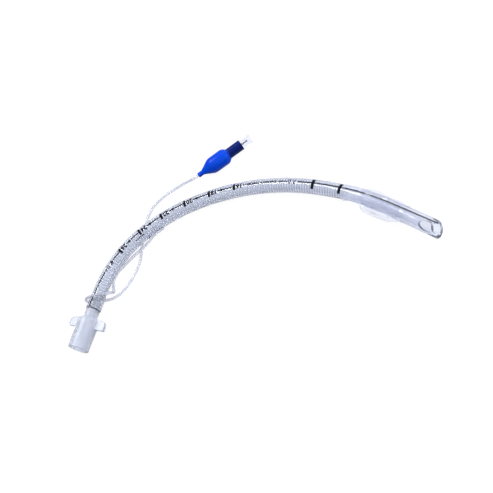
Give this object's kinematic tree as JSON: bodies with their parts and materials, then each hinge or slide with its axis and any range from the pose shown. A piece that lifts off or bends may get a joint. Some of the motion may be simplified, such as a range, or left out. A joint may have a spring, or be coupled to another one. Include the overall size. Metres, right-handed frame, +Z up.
{
  "type": "endotracheal tube",
  "caption": "Curved wire-reinforced breathing tube with a soft bevelled tip, a side eye, a part-filled cuff, a winged cone connector, and a line to a blue pilot balloon with a valve.",
  "frame": {"origin": "centre of the connector's machine end, on the cone's axis", "axes": "+X up the connector into the tube, +Z up from the table it lies on; the tube curves towards -Y"},
  "size_m": [0.1847, 0.2581, 0.0188],
  "materials": {
    "connector_plastic": "satin translucent",
    "clear_tube": "clear gloss",
    "coil_wire": "bright",
    "cuff_film": "clear film",
    "line_tube": "clear gloss",
    "blue_film": "gloss",
    "clear_hub": "clear gloss",
    "seal_rubber": "matte",
    "stem_plastic": "matte"
  },
  "bodies": {
    "tube": {"connector": "connector_plastic", "shaft": "clear_tube", "wire_spiral": "coil_wire", "distal_tip": "clear_tube", "cuff": "cuff_film", "inflation_line": "line_tube", "pilot_balloon": "blue_film", "valve_body": "clear_hub", "valve_retainer": "clear_hub", "valve_spring": "coil_wire"},
    "stem": {"valve_stem": "stem_plastic", "valve_seal": "seal_rubber"}
  },
  "joints": [
    {"name": "valve_stem_slide", "type": "slide", "parent": "tube", "child": "stem", "axis": [-0.7254, 0.6884, 0], "range_m": [0, 0.0012], "stiffness_N_per_m": 150, "springref_m": -0.0005, "deforming": ["valve_spring"]}
  ]
}
